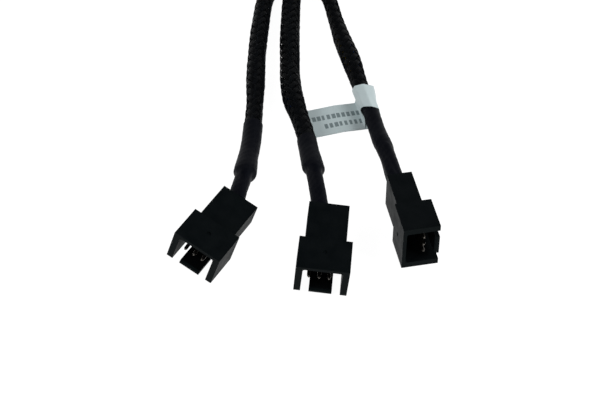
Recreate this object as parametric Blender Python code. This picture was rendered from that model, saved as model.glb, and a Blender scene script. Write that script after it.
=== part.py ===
"""Fan splitter cable: one input connector feeding three sleeved branches.

Metres, +Z up. The floor is z = 0. The origin is the centre of the input
connector's underside. The input connector mates towards +Y and the three
branches run from the joint towards -Y, each to its own four-way connector.
"""
import math

import bpy
import bmesh
from mathutils import Matrix, Vector

# Contacts and wires
CONTACT_PITCH = 0.00254
WIRE_DIAMETER = 0.0012
WIRE_BUNDLE_OFFSET = 0.00072
FACE_GAP = 0.0003
WIRE_GAP = 0.0006
CAVITY_CLEARANCE = 0.0002

# Branch connector, along its own axes: x across, y towards the mouth, z up
BLOCK_WIDTH = 0.01076
BLOCK_LENGTH = 0.01278
BLOCK_BOTTOM = 0.00205
BLOCK_HEIGHT = 0.00685
SHROUD_WIDTH = 0.01392
SHROUD_HEIGHT = 0.0099
SHROUD_LENGTH = 0.01017
SHROUD_SIDE_WALL = 0.00178
SHROUD_COVER_WALL = 0.001
SHROUD_BACK_WALL = 0.0012
MOUTH_CORNER_RADIUS = 0.0006
TONGUE_WIDTH = 0.006
TONGUE_THICKNESS = 0.0012
TONGUE_CHAMFER = 0.0005
DIMPLE_RADIUS = 0.0006
DIMPLE_DEPTH = 0.0003
DIMPLE_FROM_MOUTH = 0.0058
FUNNEL_DEPTH = 0.0044
FUNNEL_WALL = 0.0009

# Pin contact of the branch connector
PIN_HEIGHT = 0.0036
PIN_RADIUS = 0.0005
PIN_BEHIND_MOUTH = 0.0019
PIN_TIP_LENGTH = 0.0006
PIN_HOLE_CLEARANCE = 0.0003
CONTACT_BODY_WIDTH = 0.0016
CONTACT_BODY_BACK = 0.0055

# Input connector
INPUT_WIDTH = 0.0102
INPUT_LENGTH = 0.014
INPUT_THICKNESS = 0.0048
INPUT_RIB_WIDTH = 0.0011
INPUT_RIB_HEIGHT = 0.0011
INPUT_RIB_LENGTH = 0.0085
INPUT_RIB_INSET = 0.0004
SOCKET_OPENING = 0.0014
SOCKET_FRONT_WALL = 0.0012
SOCKET_BORE_RADIUS = 0.00055
SOCKET_BORE_DEPTH = 0.005
LANCE_WINDOW_WIDTH = 0.0012
LANCE_WINDOW_LENGTH = 0.0022
LANCE_WINDOW_FROM_BACK = 0.006
TERMINAL_WIRE_END = 0.002

# Sleeved branches
SHRINK_RIDGE_HALF_LENGTH = 0.0022
SHRINK_TO_HOUSING = 0.001
SLEEVE_POINT_SPACING = 0.006
SHRINK_POINT_SPACING = 0.0022
WIRE_POINTS = 8

# Joint heat-shrink over the three sleeve ends
JOINT_LENGTH = 0.0257
JOINT_TO_INPUT = 0.0053
JOINT_WALL = 0.0005
JOINT_ROUNDNESS = 2.8
JOINT_SECTION_POINTS = 28
JOINT_STATIONS = 7

# Flag label folded round the right-hand branch
LABEL_BRANCH = "right"
LABEL_WIDTH = 0.0104
LABEL_THICKNESS = 0.00028
LABEL_CLEARANCE = 0.0002
LABEL_REACH = 0.0196
LABEL_SHEAR = 0.28
LABEL_STATION = 0.0721
LABEL_ARC_POINTS = 20

# Each branch: where its connector lies, which of the four contacts it has, the
# diameters of its heat-shrink over the sleeve, at its ridge and at its neck, and
# the route of its sleeve from the joint to the back of the connector.
BRANCHES = {
    "left": {
        "place": (-0.0172, -0.1515),
        "turn": (2.79, -16.86, 151.44),
        "contacts": (1, 2, 3),
        "leans": (2.2, 3.1, 3.1),
        "sleeve_diameter": 0.0055,
        "shrink_diameters": (0.0056, 0.0064, 0.0046),
        "shrink_start": 0.0797,
        "ridge_to_end": 0.0122,
        "route": [
            (-0.0061, -0.0380, 0.0033), (-0.0062, -0.0440, 0.0032), (-0.0078, -0.0520, 0.0029),
            (-0.0100, -0.0600, 0.0028), (-0.0109, -0.0689, 0.0028), (-0.0116, -0.0785, 0.0028),
            (-0.0120, -0.0879, 0.0028), (-0.0121, -0.0970, 0.0028), (-0.0121, -0.1058, 0.0028),
            (-0.0123, -0.1136, 0.0029), (-0.0128, -0.1246, 0.0034), (-0.0136, -0.1328, 0.0045),
            (-0.0142, -0.1397, 0.0057), (-0.0152, -0.1455, 0.0065), (-0.0163, -0.1517, 0.0068),
        ],
    },
    "middle": {
        "place": (0.0081, -0.15548),
        "turn": (-4.49, -5.14, 175.03),
        "contacts": (1, 2, 3),
        "leans": (2.2, 3.1, 3.1),
        "sleeve_diameter": 0.0060,
        "shrink_diameters": (0.0056, 0.0061, 0.0044),
        "shrink_start": 0.0876,
        "ridge_to_end": 0.0178,
        "route": [
            (-0.0001, -0.0380, 0.0035), (-0.0001, -0.0440, 0.0034), (-0.0007, -0.0520, 0.0031),
            (-0.0016, -0.0600, 0.0031), (-0.0019, -0.0689, 0.0031), (-0.0021, -0.0785, 0.0031),
            (-0.0020, -0.0879, 0.0032), (-0.0019, -0.0970, 0.0034), (-0.0010, -0.1064, 0.0037),
            (0.0010, -0.1152, 0.0040), (0.0026, -0.1227, 0.0044), (0.00345, -0.1293, 0.0051),
            (0.0047, -0.1384, 0.0066), (0.0056, -0.1460, 0.0076), (0.0065, -0.1558, 0.0080),
        ],
    },
    "right": {
        "place": (0.03309, -0.1448),
        "turn": (1.32, 89.86, 190.91),
        "contacts": (1, 2, 3, 4),
        "leans": (0.0, 0.0, 0.0, 0.0),
        "sleeve_diameter": 0.0055,
        "shrink_diameters": (0.0048, 0.0052, 0.0046),
        "shrink_start": 0.0732,
        "ridge_to_end": 0.0190,
        "route": [
            (0.0058, -0.0380, 0.0033), (0.0059, -0.0440, 0.0032), (0.0080, -0.0520, 0.0029),
            (0.0104, -0.0600, 0.0028), (0.0120, -0.0689, 0.0028), (0.0139, -0.0785, 0.0028),
            (0.0162, -0.0879, 0.0029), (0.0180, -0.0971, 0.0032), (0.0194, -0.1035, 0.00335),
            (0.0210, -0.1094, 0.00345), (0.0228, -0.1196, 0.0041), (0.0243, -0.1272, 0.0050),
            (0.0256, -0.1340, 0.0059), (0.0264, -0.1394, 0.0065), (0.0276, -0.1458, 0.0068),
        ],
    },
}

# Values that follow from the sizes above
MOUTH = BLOCK_LENGTH + SHROUD_LENGTH
BLOCK_TOP = BLOCK_BOTTOM + BLOCK_HEIGHT
SHROUD_INNER_HALF = SHROUD_WIDTH / 2 - SHROUD_SIDE_WALL
CAVITY_HALF = CONTACT_BODY_WIDTH / 2 + CAVITY_CLEARANCE
CONTACT_BODY_FRONT = BLOCK_LENGTH - FACE_GAP
PIN_TIP = MOUTH - PIN_BEHIND_MOUTH
INPUT_BACK = -INPUT_LENGTH / 2
INPUT_FRONT = INPUT_LENGTH / 2
TERMINAL_BACK = INPUT_BACK + TERMINAL_WIRE_END
TERMINAL_FRONT = INPUT_FRONT - SOCKET_FRONT_WALL - FACE_GAP
SOCKET_HEIGHT = INPUT_THICKNESS / 2
JOINT_INPUT_END = INPUT_BACK - JOINT_TO_INPUT
JOINT_BRANCH_END = JOINT_INPUT_END - JOINT_LENGTH
CUT_PAST = 0.002

COLOURS = {
    "black_nylon": ((0.012, 0.013, 0.014), 0.45, 0.0),
    "black_shrink": ((0.016, 0.017, 0.019), 0.6, 0.0),
    "black_braid": ((0.008, 0.009, 0.010), 0.7, 0.0),
    "tin": ((0.72, 0.72, 0.70), 0.25, 1.0),
    "white_film": ((0.50, 0.55, 0.56), 0.35, 0.0),
    "wire_1": ((0.012, 0.012, 0.012), 0.5, 0.0),
    "wire_2": ((0.55, 0.42, 0.04), 0.5, 0.0),
    "wire_3": ((0.02, 0.10, 0.32), 0.5, 0.0),
    "wire_4": ((0.03, 0.26, 0.08), 0.5, 0.0),
}


def clear_scene():
    """Remove every object that the scene starts with."""
    for thing in list(bpy.data.objects):
        bpy.data.objects.remove(thing, do_unlink=True)


def make_collection(name):
    """Return a new collection linked to the scene."""
    group = bpy.data.collections.new(name)
    bpy.context.scene.collection.children.link(group)
    return group


def make_material(name):
    """Return a Principled BSDF material from the colour table."""
    colour, roughness, metallic = COLOURS[name]
    material = bpy.data.materials.new(name)
    material.use_nodes = True
    shader = material.node_tree.nodes["Principled BSDF"]
    shader.inputs["Base Color"].default_value = (*colour, 1.0)
    shader.inputs["Roughness"].default_value = roughness
    shader.inputs["Metallic"].default_value = metallic
    return material


def new_object(name, data, group):
    """Link a new object that holds the given mesh or curve."""
    thing = bpy.data.objects.new(name, data)
    group.objects.link(thing)
    return thing


def box(name, low, high, group, upper_radius=0.0):
    """Return a box between two corners, with its two upper edges along y rounded if a radius is given."""
    size = Vector(high) - Vector(low)
    centre = (Vector(high) + Vector(low)) / 2
    mesh = bpy.data.meshes.new(name)
    form = bmesh.new()
    bmesh.ops.create_cube(form, size=1.0)
    bmesh.ops.scale(form, vec=size, verts=form.verts)
    bmesh.ops.translate(form, vec=centre, verts=form.verts)
    if upper_radius:
        rounded = [edge for edge in form.edges if all(v.co.z > centre.z for v in edge.verts)
                   and abs(edge.verts[0].co.x - edge.verts[1].co.x) < size.x / 2]
        bmesh.ops.bevel(form, geom=rounded, offset=upper_radius, segments=3, profile=0.5, affect="EDGES")
    form.to_mesh(mesh)
    form.free()
    return new_object(name, mesh, group)


def rod(name, start, end, radius, group, sides=12):
    """Return a cylinder from start to end."""
    span = Vector(end) - Vector(start)
    mesh = bpy.data.meshes.new(name)
    form = bmesh.new()
    bmesh.ops.create_cone(form, cap_ends=True, segments=sides, radius1=radius, radius2=radius, depth=span.length)
    turn = Vector((0.0, 0.0, 1.0)).rotation_difference(span.normalized()).to_matrix().to_4x4()
    form.transform(Matrix.Translation((Vector(start) + Vector(end)) / 2) @ turn)
    form.to_mesh(mesh)
    form.free()
    return new_object(name, mesh, group)


def turned(name, sections, group, sides=12):
    """Return a solid of revolution about the y axis through the given (distance, radius) sections."""
    mesh = bpy.data.meshes.new(name)
    form = bmesh.new()
    rings = []
    for distance, radius in sections:
        angles = [2 * math.pi * i / sides for i in range(sides)]
        rings.append([form.verts.new((radius * math.cos(a), distance, radius * math.sin(a))) for a in angles])
    for first, second in zip(rings, rings[1:]):
        for i in range(sides):
            j = (i + 1) % sides
            form.faces.new((first[i], first[j], second[j], second[i]))
    form.faces.new(rings[0])
    form.faces.new(list(reversed(rings[-1])))
    bmesh.ops.recalc_face_normals(form, faces=form.faces)
    form.to_mesh(mesh)
    form.free()
    return new_object(name, mesh, group)


def combine(target, others, operation):
    """Add a Boolean modifier to target for each of the other objects."""
    for other in others:
        other.hide_render = True
        other.display_type = "WIRE"
        step = target.modifiers.new(other.name, "BOOLEAN")
        step.operation = operation
        step.solver = "EXACT"
        step.object = other


def finished_mesh(thing, helpers):
    """Return the mesh with its modifiers applied, and remove the objects that made it."""
    bpy.context.view_layer.update()
    shape = thing.evaluated_get(bpy.context.evaluated_depsgraph_get())
    mesh = bpy.data.meshes.new_from_object(shape)
    for spent in [thing, *helpers]:
        bpy.data.objects.remove(spent, do_unlink=True)
    return mesh


def contact_offset(number):
    """Distance of contact 1 to 4 from the connector's middle; contact 1 is at +x."""
    return (2.5 - number) * CONTACT_PITCH


def branch_housing_mesh(group):
    """Return the four-way branch connector: a solid block and a hollow shroud with a tongue."""
    half_block = BLOCK_WIDTH / 2
    half_shroud = SHROUD_WIDTH / 2
    half_tongue = TONGUE_WIDTH / 2
    cavity_end = BLOCK_LENGTH + SHROUD_BACK_WALL
    shell = box("shell", (-half_shroud, BLOCK_LENGTH, 0.0), (half_shroud, MOUTH, SHROUD_HEIGHT), group)
    block = box("block", (-half_block, 0.0, BLOCK_BOTTOM),
                (half_block, BLOCK_LENGTH + SHROUD_BACK_WALL / 2, BLOCK_TOP), group)
    mouth = box("mouth", (-SHROUD_INNER_HALF, cavity_end, TONGUE_THICKNESS),
                (SHROUD_INNER_HALF, MOUTH + CUT_PAST, SHROUD_HEIGHT - SHROUD_COVER_WALL), group, MOUTH_CORNER_RADIUS)
    funnel = box("funnel", (-half_block + FUNNEL_WALL, -CUT_PAST, BLOCK_BOTTOM + FUNNEL_WALL),
                 (half_block - FUNNEL_WALL, FUNNEL_DEPTH, BLOCK_TOP - FUNNEL_WALL), group)
    cuts = [mouth, funnel]
    for side in (-1, 1):
        inner, outer = sorted((side * half_tongue, side * SHROUD_INNER_HALF))
        cuts.append(box("notch", (inner, cavity_end, -CUT_PAST), (outer, MOUTH + CUT_PAST, TONGUE_THICKNESS * 1.5),
                        group))
    for number in (1, 2, 3, 4):
        x = contact_offset(number)
        cuts.append(box("cavity", (x - CAVITY_HALF, FUNNEL_DEPTH - CUT_PAST / 4, PIN_HEIGHT - CAVITY_HALF),
                        (x + CAVITY_HALF, BLOCK_LENGTH, PIN_HEIGHT + CAVITY_HALF), group))
        cuts.append(rod("pin_hole", (x, BLOCK_LENGTH - CUT_PAST / 4, PIN_HEIGHT),
                        (x, cavity_end + CUT_PAST / 4, PIN_HEIGHT), PIN_RADIUS + PIN_HOLE_CLEARANCE, group))
    dimple_at = MOUTH - DIMPLE_FROM_MOUTH
    cuts.append(rod("dimple", (0.0, dimple_at, SHROUD_HEIGHT - DIMPLE_DEPTH),
                    (0.0, dimple_at, SHROUD_HEIGHT + CUT_PAST), DIMPLE_RADIUS, group, sides=16))
    chamfer = box("chamfer", (-half_tongue - CUT_PAST / 8, -TONGUE_CHAMFER / math.sqrt(2), -TONGUE_CHAMFER / math.sqrt(2)),
                  (half_tongue + CUT_PAST / 8, TONGUE_CHAMFER / math.sqrt(2), TONGUE_CHAMFER / math.sqrt(2)), group)
    chamfer.data.transform(Matrix.Translation((0.0, MOUTH, TONGUE_THICKNESS))
                           @ Matrix.Rotation(math.radians(45.0), 4, "X"))
    cuts.append(chamfer)
    combine(shell, [block], "UNION")
    combine(shell, cuts, "DIFFERENCE")
    return finished_mesh(shell, [block, *cuts])


def pin_contact_mesh(group):
    """Return one pin contact about its own body: a square crimp body and a round pin with a tapered tip."""
    half = CONTACT_BODY_WIDTH / 2
    body = box("body", (-half, CONTACT_BODY_BACK, -half), (half, CONTACT_BODY_FRONT, half), group)
    pin = turned("pin", [(CONTACT_BODY_FRONT - half, PIN_RADIUS), (PIN_TIP - PIN_TIP_LENGTH, PIN_RADIUS),
                         (PIN_TIP, PIN_RADIUS * 0.45)], group)
    combine(body, [pin], "UNION")
    return finished_mesh(body, [pin])


def input_housing_mesh(group):
    """Return the four-way input connector: a block with four sockets, lance windows and two ribs."""
    half = INPUT_WIDTH / 2
    body = box("input", (-half, INPUT_BACK, 0.0), (half, INPUT_FRONT, INPUT_THICKNESS), group)
    ribs = []
    rib_inner = TONGUE_WIDTH / 2 + INPUT_RIB_INSET
    for side in (-1, 1):
        low, high = sorted((side * rib_inner, side * (rib_inner + INPUT_RIB_WIDTH)))
        ribs.append(box("rib", (low, INPUT_FRONT - INPUT_RIB_LENGTH, INPUT_THICKNESS - INPUT_RIB_HEIGHT / 2),
                        (high, INPUT_FRONT, INPUT_THICKNESS + INPUT_RIB_HEIGHT), group))
    cuts = []
    opening = SOCKET_OPENING / 2
    window = LANCE_WINDOW_WIDTH / 2
    window_back = INPUT_BACK + LANCE_WINDOW_FROM_BACK
    for number in (1, 2, 3, 4):
        x = contact_offset(number)
        cuts.append(box("cavity", (x - CAVITY_HALF, INPUT_BACK - CUT_PAST, SOCKET_HEIGHT - CAVITY_HALF),
                        (x + CAVITY_HALF, INPUT_FRONT - SOCKET_FRONT_WALL, SOCKET_HEIGHT + CAVITY_HALF), group))
        cuts.append(box("opening", (x - opening, INPUT_FRONT - SOCKET_FRONT_WALL * 2, SOCKET_HEIGHT - opening),
                        (x + opening, INPUT_FRONT + CUT_PAST, SOCKET_HEIGHT + opening), group))
        cuts.append(box("window", (x - window, window_back, SOCKET_HEIGHT),
                        (x + window, window_back + LANCE_WINDOW_LENGTH, INPUT_THICKNESS + CUT_PAST * 2), group))
    combine(body, ribs, "UNION")
    combine(body, cuts, "DIFFERENCE")
    return finished_mesh(body, ribs + cuts)


def socket_terminal_mesh(group):
    """Return one socket terminal of the input connector, with a blind bore for a pin."""
    half = CONTACT_BODY_WIDTH / 2
    body = box("socket", (-half, TERMINAL_BACK, -half), (half, TERMINAL_FRONT, half), group)
    bore = rod("bore", (0.0, TERMINAL_FRONT - SOCKET_BORE_DEPTH, 0.0), (0.0, TERMINAL_FRONT + CUT_PAST, 0.0),
               SOCKET_BORE_RADIUS, group)
    combine(body, [bore], "DIFFERENCE")
    return finished_mesh(body, [bore])


def smooth_route(points, spacing):
    """Return closely spaced points of a Catmull-Rom curve through the route, at an even spacing."""
    anchors = [Vector(p) for p in points]
    anchors = [anchors[0] * 2 - anchors[1], *anchors, anchors[-1] * 2 - anchors[-2]]
    fine = [anchors[1]]
    steps = 16
    for a, b, c, d in zip(anchors, anchors[1:], anchors[2:], anchors[3:]):
        for step in range(1, steps + 1):
            t = step / steps
            fine.append(0.5 * (2 * b + (c - a) * t + (2 * a - 5 * b + 4 * c - d) * t ** 2
                               + (3 * b - a - 3 * c + d) * t ** 3))
    lengths = [0.0]
    for a, b in zip(fine, fine[1:]):
        lengths.append(lengths[-1] + (b - a).length)
    count = max(2, round(lengths[-1] / spacing))
    return [point_at(fine, lengths, lengths[-1] * i / count) for i in range(count + 1)]


def point_at(fine, lengths, distance):
    """Return the point of a fine polyline at a distance along it."""
    for i in range(1, len(fine)):
        if distance <= lengths[i] or i == len(fine) - 1:
            share = (distance - lengths[i - 1]) / (lengths[i] - lengths[i - 1])
            return fine[i - 1].lerp(fine[i], share)
    return fine[-1]


def stretch_of(points, start, end, spacing):
    """Return evenly spaced points of a route between two distances along it."""
    lengths = [0.0]
    for a, b in zip(points, points[1:]):
        lengths.append(lengths[-1] + (b - a).length)
    count = max(2, round((end - start) / spacing))
    return [point_at(points, lengths, start + (end - start) * i / count) for i in range(count + 1)]


def route_length(points):
    """Return the length of a polyline."""
    return sum((b - a).length for a, b in zip(points, points[1:]))


def tube(name, points, diameter, group, resolution, radii=None):
    """Return a filled tube along the points, with an optional share of the radius at each."""
    curve = bpy.data.curves.new(name, "CURVE")
    curve.dimensions = "3D"
    curve.bevel_depth = diameter / 2
    curve.bevel_resolution = resolution
    curve.use_fill_caps = True
    spline = curve.splines.new("POLY")
    spline.points.add(len(points) - 1)
    for i, point in enumerate(points):
        spline.points[i].co = (*point, 1.0)
        spline.points[i].radius = 1.0 if radii is None else radii[i]
    return new_object(name, curve, group)


def housing_matrix(branch):
    """Return a branch connector's place: turned as it lies, its lowest corner on the floor."""
    pitch, roll, yaw = (math.radians(angle) for angle in branch["turn"])
    turn = (Matrix.Rotation(yaw, 4, "Z") @ Matrix.Rotation(pitch, 4, "X") @ Matrix.Rotation(roll, 4, "Y"))
    half = SHROUD_WIDTH / 2
    corners = [(x, y, z) for x in (-half, half) for y in (BLOCK_LENGTH, MOUTH) for z in (0.0, SHROUD_HEIGHT)]
    half = BLOCK_WIDTH / 2
    corners += [(x, 0.0, z) for x in (-half, half) for z in (BLOCK_BOTTOM, BLOCK_TOP)]
    lowest = min((turn @ Vector(corner)).z for corner in corners)
    return Matrix.Translation((*branch["place"], -lowest)) @ turn


def ease(share):
    """Return a smooth step from 0 to 1."""
    share = min(max(share, 0.0), 1.0)
    return share * share * (3.0 - 2.0 * share)


def shrink_radius(distance, ridge, diameters):
    """Return the heat-shrink's radius: wide over the sleeve, a ridge at its end, then a neck."""
    wide, high, neck = (diameter / 2 for diameter in diameters)
    reach = SHRINK_RIDGE_HALF_LENGTH
    if distance < ridge:
        return wide + (high - wide) * ease(1.0 - (ridge - distance) / reach)
    return neck + (high - neck) * ease(1.0 - (distance - ridge) / reach)


def make_branch(side, branch, meshes, materials, group):
    """Make one branch: its sleeve, heat-shrink, connector, pin contacts and wire ends."""
    route = smooth_route(branch["route"], 0.001)
    start = FACE_GAP
    shrink_start = branch["shrink_start"]
    shrink_end = route_length(route) - SHRINK_TO_HOUSING
    sleeve_points = stretch_of(route, start, shrink_start - FACE_GAP, SLEEVE_POINT_SPACING)
    sleeve = tube(f"{side}_sleeve", sleeve_points, branch["sleeve_diameter"], group, 4)
    sleeve.data.materials.append(materials["black_braid"])

    shrink_points = stretch_of(route, shrink_start, shrink_end, SHRINK_POINT_SPACING)
    ridge = shrink_end - shrink_start - branch["ridge_to_end"]
    step = (shrink_end - shrink_start) / (len(shrink_points) - 1)
    diameters = branch["shrink_diameters"]
    radii = [shrink_radius(i * step, ridge, diameters) * 2 / diameters[0] for i in range(len(shrink_points))]
    shrink = tube(f"{side}_heat_shrink", shrink_points, diameters[0], group, 4, radii)
    shrink.data.materials.append(materials["black_shrink"])

    place = housing_matrix(branch)
    housing = new_object(f"{side}_housing", meshes["branch_housing"], group)
    housing.matrix_world = place

    neck_end = shrink_points[-1]
    heading = (shrink_points[-1] - shrink_points[-2]).normalized()
    across = place.to_3x3() @ Vector((1.0, 0.0, 0.0))
    rise = place.to_3x3() @ Vector((0.0, 0.0, 1.0))
    forward = place.to_3x3() @ Vector((0.0, 1.0, 0.0))
    body_middle = (CONTACT_BODY_BACK + CONTACT_BODY_FRONT) / 2
    for number, angle in zip(branch["contacts"], branch["leans"]):
        pivot = Vector((contact_offset(number), body_middle, PIN_HEIGHT))
        lean = Matrix.Rotation(math.radians(angle), 4, "Z")
        contact = new_object(f"{side}_pin_{number}", meshes["pin_contact"], group)
        seat = place @ Matrix.Translation(pivot) @ lean @ Matrix.Translation((0.0, -body_middle, 0.0))
        contact.matrix_world = seat

        x_share, z_share = bundle_place(number, len(branch["contacts"]))
        begin = neck_end + heading * WIRE_GAP + (across * x_share + rise * z_share) * WIRE_BUNDLE_OFFSET
        finish = seat @ Vector((0.0, CONTACT_BODY_BACK - FACE_GAP, 0.0))
        wire = tube(f"{side}_wire_{number}", bend_between(begin, heading, finish, forward), WIRE_DIAMETER, group, 2)
        wire.data.materials.append(materials[f"wire_{number}"])


def bundle_place(number, count):
    """Return where a wire lies in its bundle, across and up, in wire offsets."""
    if count == 4:
        return {1: (1.0, 1.0), 2: (1.0, -1.0), 3: (-1.0, -1.0), 4: (-1.0, 1.0)}[number]
    return {1: (1.0, -0.5), 2: (0.0, 1.0), 3: (-1.0, -0.5)}[number]


def bend_between(begin, leaving, finish, arriving):
    """Return the points of a smooth bend that leaves and arrives in the given directions."""
    reach = (finish - begin).length * 0.9
    points = []
    for i in range(WIRE_POINTS):
        t = i / (WIRE_POINTS - 1)
        a = 2 * t ** 3 - 3 * t ** 2 + 1
        b = t ** 3 - 2 * t ** 2 + t
        c = -2 * t ** 3 + 3 * t ** 2
        d = t ** 3 - t ** 2
        points.append(begin * a + leaving * reach * b + finish * c + arriving * reach * d)
    return points


def make_input(meshes, materials, group):
    """Make the input connector, its socket terminals and the four wires that feed the joint."""
    new_object("input_housing", meshes["input_housing"], group)
    towards_input = Vector((0.0, 1.0, 0.0))
    for number in (1, 2, 3, 4):
        x = contact_offset(number)
        terminal = new_object(f"input_terminal_{number}", meshes["socket_terminal"], group)
        terminal.location = (x, 0.0, SOCKET_HEIGHT)
        begin = Vector((x, JOINT_INPUT_END + WIRE_GAP, joint_section(0.0)[2]))
        finish = Vector((x, TERMINAL_BACK - FACE_GAP, SOCKET_HEIGHT))
        wire = tube(f"input_wire_{number}", bend_between(begin, towards_input, finish, towards_input),
                    WIRE_DIAMETER, group, 2)
        wire.data.materials.append(materials[f"wire_{number}"])


def joint_section(share):
    """Return half the width, half the height and the mid height of the joint, input end 0, branch end 1."""
    wide = max(abs(b["route"][0][0]) + b["sleeve_diameter"] / 2 for b in BRANCHES.values()) + JOINT_WALL
    tall = max(b["sleeve_diameter"] for b in BRANCHES.values()) / 2 + JOINT_WALL
    narrow = contact_offset(1) + WIRE_DIAMETER / 2 + JOINT_WALL
    low = WIRE_DIAMETER / 2 + 2 * JOINT_WALL
    rise = ease((share - 0.15) / 0.55)
    half_width = narrow + (wide - narrow) * rise
    half_height = low + (tall - low) * rise
    middle = SOCKET_HEIGHT + (tall - SOCKET_HEIGHT) * rise
    return half_width, half_height, max(middle, half_height)


def make_joint(materials, group):
    """Make the joint heat-shrink: a rounded loft from the four wires to the three sleeves side by side."""
    form = bmesh.new()
    rings = []
    for station in range(JOINT_STATIONS):
        share = station / (JOINT_STATIONS - 1)
        half_width, half_height, middle = joint_section(share)
        y = JOINT_INPUT_END - JOINT_LENGTH * share
        ring = []
        for i in range(JOINT_SECTION_POINTS):
            angle = 2 * math.pi * i / JOINT_SECTION_POINTS
            x = half_width * math.copysign(abs(math.cos(angle)) ** (2 / JOINT_ROUNDNESS), math.cos(angle))
            z = half_height * math.copysign(abs(math.sin(angle)) ** (2 / JOINT_ROUNDNESS), math.sin(angle))
            ring.append(form.verts.new((x, y, middle + z)))
        rings.append(ring)
    for first, second in zip(rings, rings[1:]):
        for i in range(JOINT_SECTION_POINTS):
            j = (i + 1) % JOINT_SECTION_POINTS
            form.faces.new((first[i], first[j], second[j], second[i]))
    form.faces.new(rings[0])
    form.faces.new(list(reversed(rings[-1])))
    bmesh.ops.recalc_face_normals(form, faces=form.faces)
    mesh = bpy.data.meshes.new("joint_heat_shrink")
    form.to_mesh(mesh)
    form.free()
    mesh.materials.append(materials["black_shrink"])
    new_object("joint_heat_shrink", mesh, group)


def make_label(materials, group):
    """Make the flag label: a film ring round the branch, whose doubled tail leaves it low down.

    The tail lies on the floor, or level with the ring's lowest point where the ring hangs above the floor.
    """
    branch = BRANCHES[LABEL_BRANCH]
    inner = max(branch["sleeve_diameter"], branch["shrink_diameters"][0]) / 2 + LABEL_CLEARANCE
    outer = inner + LABEL_THICKNESS
    route = smooth_route(branch["route"], 0.001)
    under = stretch_of(route, LABEL_STATION - LABEL_WIDTH / 2, LABEL_STATION + LABEL_WIDTH / 2, LABEL_WIDTH / 2)
    centre = (under[0] + under[-1]) / 2
    tail_bottom = max(-centre.z, -outer)
    tail_top = tail_bottom + LABEL_THICKNESS
    start_angle = math.pi / 2 + math.acos(tail_top / outer)
    outline = []
    for i in range(LABEL_ARC_POINTS + 1):
        angle = start_angle - (start_angle + math.pi / 2) * i / LABEL_ARC_POINTS
        outline.append((outer * math.cos(angle), outer * math.sin(angle)))
    outline += [(-outer / 4, tail_bottom), (-LABEL_REACH, tail_bottom), (-LABEL_REACH, tail_top)]
    hole = []
    for i in range(LABEL_ARC_POINTS):
        angle = 2 * math.pi * i / LABEL_ARC_POINTS
        hole.append((inner * math.cos(angle), inner * math.sin(angle)))
    curve = bpy.data.curves.new("flag_label", "CURVE")
    curve.dimensions = "2D"
    curve.fill_mode = "BOTH"
    curve.extrude = LABEL_WIDTH / 2
    for loop in (outline, hole):
        spline = curve.splines.new("POLY")
        spline.points.add(len(loop) - 1)
        for i, (x, z) in enumerate(loop):
            spline.points[i].co = (x, z, 0.0, 1.0)
        spline.use_cyclic_u = True
    flat = new_object("label_outline", curve, group)
    mesh = finished_mesh(flat, [])
    form = bmesh.new()
    form.from_mesh(mesh)
    bmesh.ops.remove_doubles(form, verts=form.verts, dist=0.000001)
    bmesh.ops.recalc_face_normals(form, faces=form.faces)
    form.to_mesh(mesh)
    form.free()
    along = under[-1] - under[0]
    along.z = 0.0
    along.normalize()
    up = Vector((0.0, 0.0, 1.0))
    across = up.cross(along).normalized()
    if across.x < 0.0:
        across.negate()
    shear = Matrix.Identity(4)
    shear[2][1] = LABEL_SHEAR
    mesh.transform(shear)
    axes = Matrix((across, up, -along)).transposed().to_4x4()
    mesh.materials.append(materials["white_film"])
    label = new_object("flag_label", mesh, group)
    label.matrix_world = Matrix.Translation(centre) @ axes


def main():
    clear_scene()
    group = make_collection("fan_splitter_cable")
    workshop = make_collection("cutters")
    materials = {name: make_material(name) for name in COLOURS}
    meshes = {
        "branch_housing": branch_housing_mesh(workshop),
        "pin_contact": pin_contact_mesh(workshop),
        "input_housing": input_housing_mesh(workshop),
        "socket_terminal": socket_terminal_mesh(workshop),
    }
    for name, material in (("branch_housing", "black_nylon"), ("pin_contact", "tin"),
                           ("input_housing", "black_nylon"), ("socket_terminal", "tin")):
        meshes[name].materials.clear()
        meshes[name].materials.append(materials[material])
    make_input(meshes, materials, group)
    make_joint(materials, group)
    for side, branch in BRANCHES.items():
        make_branch(side, branch, meshes, materials, group)
    make_label(materials, group)


main()
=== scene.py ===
# %% [markdown]
# # A fan splitter cable
# One small input connector feeds three sleeved branches, and each branch ends in a four-way
# pin connector. The solid model gives the sizes and the places. This lesson dresses it:
# moulded plastic, braided sleeving, shrunk tubing, tinned pins and a folded film flag.
# Everything is in metres, and the floor is the plane z = 0.

# %% Load the frame and keep its box
import math

import bmesh
import bpy
import numpy as np
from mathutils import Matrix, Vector


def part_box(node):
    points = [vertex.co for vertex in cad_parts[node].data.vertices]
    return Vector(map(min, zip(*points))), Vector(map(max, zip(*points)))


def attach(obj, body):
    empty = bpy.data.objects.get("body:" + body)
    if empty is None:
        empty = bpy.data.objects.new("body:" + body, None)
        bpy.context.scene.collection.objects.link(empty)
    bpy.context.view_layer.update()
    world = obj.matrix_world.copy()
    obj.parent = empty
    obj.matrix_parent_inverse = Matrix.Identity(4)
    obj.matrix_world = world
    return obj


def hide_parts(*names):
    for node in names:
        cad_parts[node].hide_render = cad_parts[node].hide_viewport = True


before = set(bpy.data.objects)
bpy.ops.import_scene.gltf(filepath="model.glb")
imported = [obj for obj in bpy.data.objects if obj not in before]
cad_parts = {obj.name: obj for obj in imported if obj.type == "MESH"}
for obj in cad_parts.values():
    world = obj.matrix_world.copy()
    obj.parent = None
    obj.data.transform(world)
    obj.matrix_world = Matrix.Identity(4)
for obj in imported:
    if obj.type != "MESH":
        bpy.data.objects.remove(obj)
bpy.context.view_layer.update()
MM = 0.001
print("nodes in the frame:", len(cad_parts))

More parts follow.
